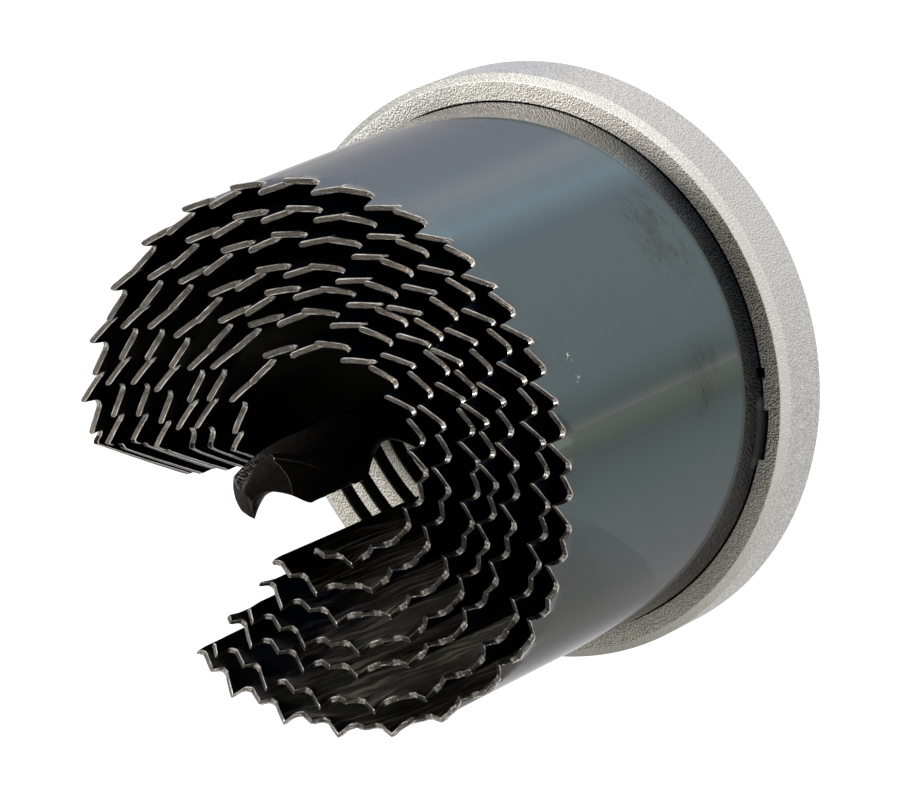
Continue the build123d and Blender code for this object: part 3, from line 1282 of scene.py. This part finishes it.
        levels = [low + (height - notch - low) * t for t in form.wall_shares]
        outer_burr = rng.uniform(-0.3, 0.3) * notch
        inner_burr = rng.uniform(-0.3, 0.3) * notch
        outer = [(radius(level, half), level) for level in levels]
        inner = [(radius(level, -half), level) for level in reversed(levels)]
        edge = [
            (radius(height, half - notch + outer_burr), height),
            (radius(height, (half - notch) / 3), height + outer_burr * 0.2),
            (radius(height, -(half - notch) / 3), height + inner_burr * 0.2),
            (radius(height, -half + notch + inner_burr), height),
        ]
        return outer + edge + inner

    def tilt(self) -> Matrix:
        """Tip of the band about the middle of its seat.

        Returns:
            The transform of points across, up and ahead, in millimetres.
        """
        shift = math.hypot(*self.lean)
        if shift == 0:
            return Matrix.Identity(4)
        pivot = Vector((0.0, 0.0, self.form.seat / 2))
        angle = math.atan2(shift, REACH - self.form.seat / 2)
        axis = Vector((-self.lean[1], self.lean[0], 0.0))
        turn = Matrix.Rotation(angle, 4, axis)
        return Matrix.Translation(pivot) @ turn @ Matrix.Translation(-pivot)

    def build(self, finishes: Sequence[Finish]) -> bpy.types.Object:
        """Build the band and let it stand for its CAD node.

        Args:
            finishes: Finishes in the order of Skin.

        Returns:
            The finished piece.
        """
        rng = random.Random(int(self.diameter))
        mesh = bmesh.new()
        tilt = self.tilt()
        rings = []
        columns = self.profile(rng)
        insets = {0: self.form.edge_break, len(columns) - 1: self.form.edge_break}
        for index, column in enumerate(columns):
            angle = math.radians(self.start) + column.arc / self.middle
            ring = []
            for radius, level in self.section(column, insets.get(index, 0.0), rng):
                spot = tilt @ Vector((radius * math.cos(angle), radius * math.sin(angle), level))
                ring.append(mesh.verts.new(saw_place(*spot)))
            rings.append(ring)
        self.skin(mesh, rings, columns)
        self.add_lug(mesh, tilt)
        piece = finish_mesh(f"{self.node}_ground", mesh, finishes)
        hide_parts(self.node)
        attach(piece, "root")
        return piece

    def skin(
        self,
        mesh: bmesh.types.BMesh,
        rings: list[list[bmesh.types.BMVert]],
        columns: list[Column],
    ) -> None:
        """Lay faces between the columns and close the ends.

        Args:
            mesh: The bmesh that holds the points.
            rings: Points of each column's outline.
            columns: The columns.
        """
        count = len(rings[0])
        side = (count - 4) // 2
        tip_arc = self.arc(self.form.tip_angle)
        for left, right, column in zip(rings, rings[1:], columns):
            top = Skin.GULLET if column.low else Skin.GROUND
            top = Skin.CUT if column.arc > tip_arc else top
            for i in range(count):
                j = (i + 1) % count
                face = mesh.faces.new((left[i], right[i], right[j], left[j]))
                face.material_index = self.skin_of(i, side, top)
        for ring in (rings[0], rings[-1]):
            mesh.faces.new(ring).material_index = Skin.CUT

    @staticmethod
    def skin_of(place: int, side: int, top: Skin) -> int:
        """Material slot of a face by its place round the outline.

        Args:
            place: Number of the face round the outline.
            side: Points on each side of the strip.
            top: Slot of the column's edge.

        Returns:
            The slot.
        """
        if place < side - 1:
            return Skin.OUTSIDE
        if place in (side - 1, side + 3):
            return Skin.EDGE
        if place < side + 3:
            return top
        return Skin.INSIDE

    def add_lug(self, mesh: bmesh.types.BMesh, tilt: Matrix) -> None:
        """Add the driving lug at the band's foot.

        Args:
            mesh: The bmesh to add to.
            tilt: The band's tilt.
        """
        form = self.form
        out = self.diameter / 2 + form.lug_out
        root = self.middle
        depth = out - root
        made = bmesh.ops.create_cube(mesh, size=1.0)["verts"]
        bmesh.ops.scale(mesh, vec=(depth, form.lug_width, form.lug_height), verts=made)
        middle = form.lug_top - form.lug_height / 2
        turn = Matrix.Rotation(math.radians(form.lug_angle), 4, "Z")
        shift = Matrix.Translation((root + depth / 2, 0.0, middle))
        bmesh.ops.transform(mesh, matrix=tilt @ turn @ shift, verts=made)
        for vert in made:
            vert.co = saw_place(*vert.co)
            for face in vert.link_faces:
                face.material_index = Skin.CUT


def smooth(value: float, low: float, high: float) -> float:
    """Smooth step from 0 at low to 1 at high."""
    t = min(1.0, max(0.0, (value - low) / (high - low)))
    return t * t * (3 - 2 * t)


@dataclass
class Holder:
    """Die-cast plate with ring grooves, lug pockets, hub, bore and screw hole."""

    diameters: tuple[float, ...]
    form: ToothForm = field(default_factory=ToothForm)
    radius: float = 34.739
    thickness: float = 8.0
    bevel: float = 0.9
    back_radius: float = 0.6
    groove_width: float = 1.7
    groove_depth: float = 5.2
    clearance: float = 0.12
    lip: float = 0.1
    hub_radius: float = 13.0
    hub_height: float = 18.0
    hub_root: float = 2.0
    hub_edge: float = 0.8
    draft: float = 1.0
    bore: float = 4.05
    socket: float = 5.05
    socket_depth: float = 7.95
    mouth: float = 0.6
    pocket_depth: float = 0.67
    pocket_floor: float = 3.9
    pocket_width: float = 6.0
    notch_spacing: float = 7.3
    notch_width: float = 1.1
    notch_depth: float = 0.4
    screw_radius: float = 3.05
    screw_level: float = -13.0
    soft: float = 0.06
    hold: float = 0.05
    columns: int = 360
    side_gap: float = 0.04

    def recess(self, wall: float, angle: float) -> float:
        """How far a groove's outer wall is cut back at an angle.

        Args:
            wall: Radius of the groove's outer wall.
            angle: Angle in degrees.

        Returns:
            The cut in millimetres.
        """
        turn = (angle - self.form.lug_angle + 180) % 360 - 180
        arc = math.radians(turn) * wall
        if abs(arc) < self.pocket_width / 2:
            return self.pocket_depth
        if abs(arc - self.notch_spacing) < self.notch_width / 2:
            return self.notch_depth
        return 0.0

    def angles(self) -> list[float]:
        """Angles of the columns: an even spread, and a pair at each side of each pocket.

        Returns:
            The angles in degrees, in order.
        """
        found = {index * 360 / self.columns for index in range(self.columns)}
        gap = self.side_gap
        for diameter in self.diameters:
            wall = diameter / 2 + self.clearance
            half = self.pocket_width / 2
            notch = self.notch_width / 2
            sides = (-half, half, self.notch_spacing - notch, self.notch_spacing + notch)
            for arc in sides:
                angle = self.form.lug_angle + math.degrees(arc / wall)
                found |= {(angle - gap) % 360, (angle + gap) % 360}
        return sorted(found)

    def groove(self, diameter: float, angle: float) -> list[Point]:
        """Outline of one groove, from its inner lip to its outer one.

        Args:
            diameter: Diameter of the band.
            angle: Angle in degrees of the column.

        Returns:
            Radius and height of each point.
        """
        wall = diameter / 2 + self.clearance
        inner = wall - self.groove_width
        cut = wall + self.recess(wall, angle)
        lip = self.lip
        step = 0.01
        return [
            (inner - lip, 0.0),
            (inner - lip * 0.3, -lip * 0.3),
            (inner, -lip),
            (inner, -self.groove_depth + lip),
            (inner + lip, -self.groove_depth),
            (wall - lip, -self.groove_depth),
            (wall, -self.groove_depth + lip),
            (wall, -self.pocket_floor - step),
            (cut, -self.pocket_floor + step),
            (cut, -lip),
            (cut + lip * 0.3, -lip * 0.3),
            (cut + lip, 0.0),
        ]

    def corner(self, centre: Point, radius: float, start: float, sweep: float) -> list[Point]:
        """Points on a round corner of the section.

        Args:
            centre: Centre of the round, as radius and height.
            radius: Radius of the round.
            start: Angle in degrees at which it starts.
            sweep: Angle that it turns through.

        Returns:
            Radius and height of each point.
        """
        steps = 7
        turns = [math.radians(start + sweep * i / (steps - 1)) for i in range(steps)]
        return [(centre[0] + radius * math.cos(t), centre[1] + radius * math.sin(t)) for t in turns]

    def section(self, angle: float) -> list[Point]:
        """Closed outline of the holder at one angle.

        Args:
            angle: Angle in degrees.

        Returns:
            Radius and height of each point.
        """
        back = -self.thickness
        tail = back - self.hub_height
        tip = self.hub_radius - self.hub_height * math.tan(math.radians(self.draft))
        outline = [(self.bore, -self.mouth), (self.bore + 2 * self.mouth * 0.75, 0.0)]
        for diameter in sorted(self.diameters):
            outline += self.groove(diameter, angle)
        rim = self.radius
        soft = self.soft
        hold = self.hold
        near = soft * 0.7
        far = self.bevel - near
        outline += [
            (rim - self.bevel - soft - hold, 0.0),
            (rim - self.bevel - soft, 0.0),
            (rim - far, -near),
            (rim - far + hold, -near - hold),
            (rim - near - hold, -far + hold),
            (rim - near, -far),
            (rim, -self.bevel - soft),
            (rim, -self.bevel - soft - hold),
            (rim, -self.thickness / 2),
        ]
        round_off = self.back_radius
        outline += self.corner((rim - round_off, back + round_off), round_off, 0, -90)
        root = self.hub_root
        outline += [(rim / 2, back)]
        outline += self.corner((self.hub_radius + root, back - root), root, 90, 90 - self.draft)
        edge = self.hub_edge
        outline += self.corner((tip - edge, tail + edge), edge, 0, -90)
        outline += [
            (self.socket + self.mouth, tail),
            (self.socket, tail + self.mouth),
            (self.socket, tail + self.socket_depth),
            (self.bore, tail + self.socket_depth),
        ]
        return outline

    def build(self, finish: Finish) -> bpy.types.Object:
        """Build the holder and let it stand for its CAD node.

        Args:
            finish: Its finish.

        Returns:
            The finished piece.
        """
        mesh = bmesh.new()
        rings = []
        for angle in self.angles():
            turn = math.radians(angle)
            ring = []
            for radius, level in self.section(angle):
                spot = saw_place(radius * math.cos(turn), radius * math.sin(turn), level)
                ring.append(mesh.verts.new(spot))
            rings.append(ring)
        count = len(rings[0])
        for left, right in zip(rings, rings[1:] + rings[:1]):
            for i in range(count):
                j = (i + 1) % count
                mesh.faces.new((left[i], right[i], right[j], left[j]))
        piece = finish_mesh("cast_holder", mesh, [finish])
        self.drill_screw_hole(piece)
        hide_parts("band_holder")
        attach(piece, "root")
        return piece

    def drill_screw_hole(self, piece: bpy.types.Object) -> None:
        """Cut the set screw's hole into the hub.

        Args:
            piece: The holder's object, whose mesh is changed.
        """
        mesh = bmesh.new()
        radius = self.screw_radius * MM
        bmesh.ops.create_cone(
            mesh,
            cap_ends=True,
            segments=64,
            radius1=radius,
            radius2=radius,
            depth=self.hub_radius * MM,
        )
        spot = saw_place(0.0, self.hub_radius / 2 + 0.5, self.screw_level)
        bmesh.ops.translate(mesh, vec=spot, verts=mesh.verts)
        cut_mesh(piece, mesh, Cut.DIFFERENCE)
        sharpen(piece.data, CREASE)


@dataclass
class TwistDrill:
    """Two-fluted pilot drill with margins, a ground point and a plain shank."""

    radius: float = 4.0
    reach: float = 58.5
    fluted: float = 42.0
    helix: float = 47.0
    web: float = 1.0
    land: float = 82.0
    lip_angle: float = -96.0
    point: float = 118.0
    cone_angle: float = 96.0
    cone_tilt: float = 9.0
    cone_offset: float = 0.8
    cone_rise: float = 0.57
    tail: float = -17.95
    tail_chamfer: float = 0.6
    margin: float = 14.0
    margin_step: float = 0.12
    flat_depth: float = 0.8
    flat_length: float = 9.0
    flat_middle: float = -13.0
    flank_slope: float = 0.6
    crease: float = 24.0
    steps: int = 26
    rings: int = 200
    cone_segments: int = 360

    def flute(self) -> tuple[float, float]:
        """Circle of the flute's hollow, in the plane of the section.

        Returns:
            The distance of its centre from the axis, and its radius.
        """
        half = math.radians((180 - self.land) / 2)
        run = self.radius * math.cos(half) - self.web
        rise = self.radius * math.sin(half)
        size = (run * run + rise * rise) / (2 * run)
        return self.web + size, size

    def outline(self) -> list[Point]:
        """Polar outline of the fluted section.

        Returns:
            Angle in degrees and radius of each point, with a lip at 0 and 180.
        """
        centre, size = self.flute()
        flute = 180 - self.land
        points = []
        for side in (0.0, HALF_TURN):
            for step in range(self.steps):
                angle = flute * step / self.steps
                off = math.radians(angle - flute / 2)
                reach = centre * math.cos(off)
                inside = max(0.0, size * size - (centre * math.sin(off)) ** 2)
                points.append((side + angle, reach - math.sqrt(inside)))
            body = self.radius - self.margin_step
            land = self.land - self.margin
            points += [(side + flute + land * t, body) for t in (0.0, 0.25, 0.5, 0.75, 0.97)]
            points += [(side + 180 - self.margin * t, self.radius) for t in (1.0, 0.5, 0.04)]
        return points

    def build(self, finishes: Sequence[Finish]) -> bpy.types.Object:
        """Build the drill and let it stand for its CAD node.

        Args:
            finishes: Finishes of its body, of the flank on the +X side and of the other one.

        Returns:
            The finished piece.
        """
        lip = self.lip()
        foot = self.reach - self.fluted
        outline = self.outline()
        mesh = bmesh.new()
        rings = []
        for level in self.levels(foot):
            turn = lip - 360 * (self.reach - level) / self.helix
            run_out = self.radius - (level - foot) / 2
            chamfer = level - self.tail
            cap = min(self.radius, self.radius - self.tail_chamfer + chamfer)
            ring = []
            for angle, radius in outline:
                size = min(cap, max(radius, run_out))
                if level < foot:
                    size = cap
                way = math.radians(turn + angle)
                x, y = size * math.cos(way), size * math.sin(way)
                if abs(level - self.flat_middle) < self.flat_length / 2:
                    y = min(y, self.radius - self.flat_depth)
                ring.append(mesh.verts.new(saw_place(x, y, level)))
            rings.append(ring)
        count = len(outline)
        for low, high in zip(rings, rings[1:]):
            for i in range(count):
                j = (i + 1) % count
                mesh.faces.new((low[i], low[j], high[j], high[i]))
        mesh.faces.new(rings[0])
        mesh.faces.new(rings[-1])
        piece = finish_mesh("twist_drill", mesh, finishes, self.crease)
        for side in (0.0, HALF_TURN):
            cut_mesh(piece, self.cone(lip + side), Cut.INTERSECT)
        sharpen(piece.data, self.crease)
        for face in piece.data.polygons:
            if -face.normal.y > self.flank_slope:
                face.material_index = 1 if face.center.x > 0 else 2
        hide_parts("pilot_drill")
        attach(piece, "root")
        return piece

    def levels(self, foot: float) -> list[float]:
        """Heights of the rings.

        Args:
            foot: Height at which the flutes end.

        Returns:
            The heights, in order, with pairs at the ends of the flat.
        """
        low = self.flat_middle - self.flat_length / 2
        high = self.flat_middle + self.flat_length / 2
        step = 0.01
        plain = [self.tail, self.tail + self.tail_chamfer, low - step, low + step]
        plain += [high - step, high + step, 0.0, foot / 2, foot - step]
        return plain + [foot + self.fluted * i / self.rings for i in range(self.rings + 1)]

    def cone(self, angle: float) -> bmesh.types.BMesh:
        """Cone to which one flank of the point is ground.

        Args:
            angle: Angle in degrees of the flank's lip.

        Returns:
            The cone's mesh: it leans along the lip, with its tip beside the axis.
        """
        height = self.reach - self.tail + 5
        foot = height * math.tan(math.radians(self.cone_angle / 2))
        mesh = bmesh.new()
        bmesh.ops.create_cone(
            mesh,
            cap_ends=True,
            segments=self.cone_segments,
            radius1=foot,
            radius2=0.0,
            depth=height,
        )
        hang = Matrix.Translation((0.0, 0.0, -height / 2))
        bmesh.ops.transform(mesh, matrix=self.cone_place(angle) @ hang, verts=mesh.verts)
        for vert in mesh.verts:
            vert.co = saw_place(*vert.co)
        return mesh

    def cone_place(self, angle: float) -> Matrix:
        """Place and lean of a flank's cone, whose tip is the origin.

        Args:
            angle: Angle in degrees of the flank's lip.

        Returns:
            The transform of points across, up and ahead, in millimetres.
        """
        off = math.radians(angle + 180 - self.land / 2)
        x, y = self.cone_offset * math.cos(off), self.cone_offset * math.sin(off)
        tip = Matrix.Translation((x, y, self.reach + self.cone_rise))
        turn = Matrix.Rotation(math.radians(angle), 4, "Z")
        lean = Matrix.Rotation(math.radians(-self.cone_tilt), 4, "Y")
        return tip @ turn @ lean

    def cones(self) -> tuple[tuple[Vector, Vector], ...]:
        """Tip and direction of both flanks' cones.

        Returns:
            Their tips in metres and their axes, in the part's frame.
        """
        found = []
        for side in (0.0, HALF_TURN):
            place = self.cone_place(self.lip() + side)
            tip = saw_place(*(place @ Vector((0.0, 0.0, 0.0))))
            below = saw_place(*(place @ Vector((0.0, 0.0, -1.0))))
            found.append((tip, (below - tip).normalized()))
        return tuple(found)

    def lip(self) -> float:
        """Angle of the first lip at the level of the tip."""
        drop = self.radius / math.tan(math.radians(self.point / 2))
        return self.lip_angle + 360 * drop / self.helix


@dataclass
class Studio:
    """Pale floor, soft light and the camera."""

    floor_level: float = -0.16
    floor_half: float = 4.0
    eye: tuple[float, float, float] = (0.4324, -0.7320, 0.2376)
    aim: tuple[float, float, float] = (-0.51000, 0.81336, -0.27990)
    lens: float = 298.3
    clip_end: float = 20.0
    world: float = 0.85
    dim: float = 0.22
    open_way: tuple[float, float, float] = (0.6, 0.35, 0.6)
    open_range: Point = (-0.65, 0.12)
    front_range: Point = (-1.0, -0.45)
    front_share: float = 0.75
    key_size: float = 0.4
    key_power: float = 14.0
    key_place: tuple[float, float, float] = (-0.85, -0.6, 0.31)

    def build(self) -> None:
        """Set up the floor, the light and the camera."""
        self.set_floor()
        self.set_world()
        self.set_lamp("key", self.key_place, self.key_size, self.key_power)
        self.set_camera()
        scene = bpy.context.scene
        scene.view_settings.view_transform = "Standard"

    def set_floor(self) -> None:
        """Lay the floor."""
        mesh = bmesh.new()
        bmesh.ops.create_grid(mesh, x_segments=8, y_segments=8, size=self.floor_half)
        bmesh.ops.translate(mesh, vec=(0.0, 0.0, self.floor_level), verts=mesh.verts)
        floor = finish_mesh("floor", mesh, [PaleFloor()])

    def set_world(self) -> None:
        """Light the studio from all round, with a white backdrop."""
        world = bpy.data.worlds.new("studio")
        bpy.context.scene.world = world
        world.use_nodes = True
        graph = Graph(world.node_tree)
        rays = graph.node("ShaderNodeLightPath", {}, {})
        way = graph.node("ShaderNodeTexCoord", {}, {})[Where.GENERATED]
        x, y, z = graph.parts(way)
        across, along, up = self.open_way
        front = 1.0 - y.rise(*self.front_range)
        open_side = (y * along + z * up + x * across).rise(*self.open_range)
        open_side = open_side * (1.0 - front * self.front_share)
        room = self.dim + open_side * (1.0 - self.dim)
        seen = rays[Ray.CAMERA] + rays[Ray.TRANSMISSION]
        level = self.world + rays[Ray.GLOSSY] * (1.0 - self.world)
        strength = seen + (1.0 - seen) * room * level
        inputs = {"Color": WHITE, "Strength": strength}
        light = graph.node("ShaderNodeBackground", {}, inputs)[0]
        graph.node("ShaderNodeOutputWorld", {}, {"Surface": light})

    def set_lamp(
        self, name: str, place: tuple[float, float, float], size: float, power: float
    ) -> None:
        """Hang one soft lamp that points at the saw.

        Args:
            name: Its name.
            place: Where it hangs, in metres.
            size: Side of its square, in metres.
            power: Its power in watts.
        """
        data = bpy.data.lights.new(name, "AREA")
        data.size = size
        data.energy = power
        lamp = bpy.data.objects.new(name, data)
        lamp.location = place
        target = Vector((0.0, FACE_Y * MM, 0.0))
        lamp.rotation_mode = "QUATERNION"
        lamp.rotation_quaternion = (target - lamp.location).to_track_quat("-Z", "Y")
        bpy.context.scene.collection.objects.link(lamp)

    def set_camera(self) -> None:
        """Place the camera."""
        data = bpy.data.cameras.new("camera")
        data.lens = self.lens
        data.clip_end = self.clip_end
        camera = bpy.data.objects.new("camera", data)
        camera.location = self.eye
        camera.rotation_mode = "QUATERNION"
        camera.rotation_quaternion = Vector(self.aim).to_track_quat("-Z", "Y")
        bpy.context.scene.collection.objects.link(camera)
        bpy.context.scene.camera = camera


@dataclass(frozen=True)
class PaleFloor(Finish):
    """Matt floor that looks white to the camera and in mirrors."""

    name: str = "pale_floor"
    grey: Colour = (0.3, 0.3, 0.3)
    roughness: float = 0.9
    lift: float = 0.85
    mirrored: float = 0.5

    def paint(self, graph: Graph) -> None:
        """Fill the material's tree.

        Args:
            graph: The graph to write in.
        """
        rays = graph.node("ShaderNodeLightPath", {}, {})
        seen = rays[Ray.CAMERA] + rays[Ray.TRANSMISSION] + rays[Ray.GLOSSY] * self.mirrored
        graph.polished(
            {
                "Base Color": self.grey,
                "Roughness": self.roughness,
                "Emission Color": WHITE,
                "Emission Strength": seen * self.lift,
            }
        )


def dress_node(frame: dict[str, Any], node: str, finish: Finish) -> None:
    """Give a CAD node its finish.

    Args:
        frame: The loaded frame.
        node: Name of the node.
        finish: Its finish.
    """
    piece = frame["nodes"][node]
    piece.data.materials.clear()
    piece.data.materials.append(finish.material())
    report(piece)


def main() -> None:
    """Build the saw piece by piece and report each one."""
    logging.basicConfig(level=logging.INFO, format="%(name)s %(message)s")
    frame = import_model()
    bands = [
        SawBand(63.0, -124.5, 3.46, Set.IN, 3.559, (0.0, 0.0)),
        SawBand(57.0, -122.0, 1.45, Set.OUT, 3.56, (0.15, -0.1)),
        SawBand(50.0, -120.8, 0.95, Set.IN, 3.541, (-0.2, 0.4)),
        SawBand(44.0, -118.0, 1.71, Set.OUT, 3.542, (0.0, 0.0)),
        SawBand(38.0, -117.5, 0.1, Set.IN, 3.574, (0.65, 0.55)),
        SawBand(32.0, -117.5, 0.1, Set.OUT, 3.668, (0.0, 0.75), 0.2),
        SawBand(25.0, -101.0, 2.92, Set.IN, 3.492, (0.4, 0.7)),
    ]
    # Bare steel at the edges of the teeth, worn and painted brighter as a highlight line.
    worn = GroundEdge(
        "worn_edge", (0.95, 0.91, 0.84), (0.40, 0.36, 0.32), pit_from=0.6, roughness=0.3
    )
    # Ground steel in the gullets, painted brighter as a glint, with grainy dark spots.
    gullet = GroundEdge(
        "gullet_edge",
        (0.70, 0.66, 0.60),
        (0.10, 0.09, 0.08),
        pit_from=0.5,
        roughness=0.3,
        depth=0.00003,
    )
    inner = [DarkInside(), GroundEdge(), DarkInside(), worn, gullet]
    for band in bands:
        outer = BluedOutside() if band is bands[0] else ShadedBlue()
        report(band.build([outer, *inner]))
    holder = Holder(tuple(band.diameter for band in bands))
    report(holder.build(BlastedAluminium()))
    # Painted shade: the flank on the +X side is a darker, matt copy of the ground flank.
    dark_flank = GroundFlank(
        "dark_flank", (0.012, 0.011, 0.010), (0.006, 0.0055, 0.005), metallic=0.0, gloss=0.1
    )
    drill = TwistDrill()
    oxide = BlackOxide(cones=drill.cones(), cone_angle=drill.cone_angle / 2)
    report(drill.build([oxide, dark_flank, GroundFlank()]))
    dress_node(frame, "drive_shank", DrawnSteel())
    dress_node(frame, "drill_set_screw", BlackOxide(name="screw_oxide", worn_from=1000.0))
    Studio().build()


if __name__ == "__main__":
    main()
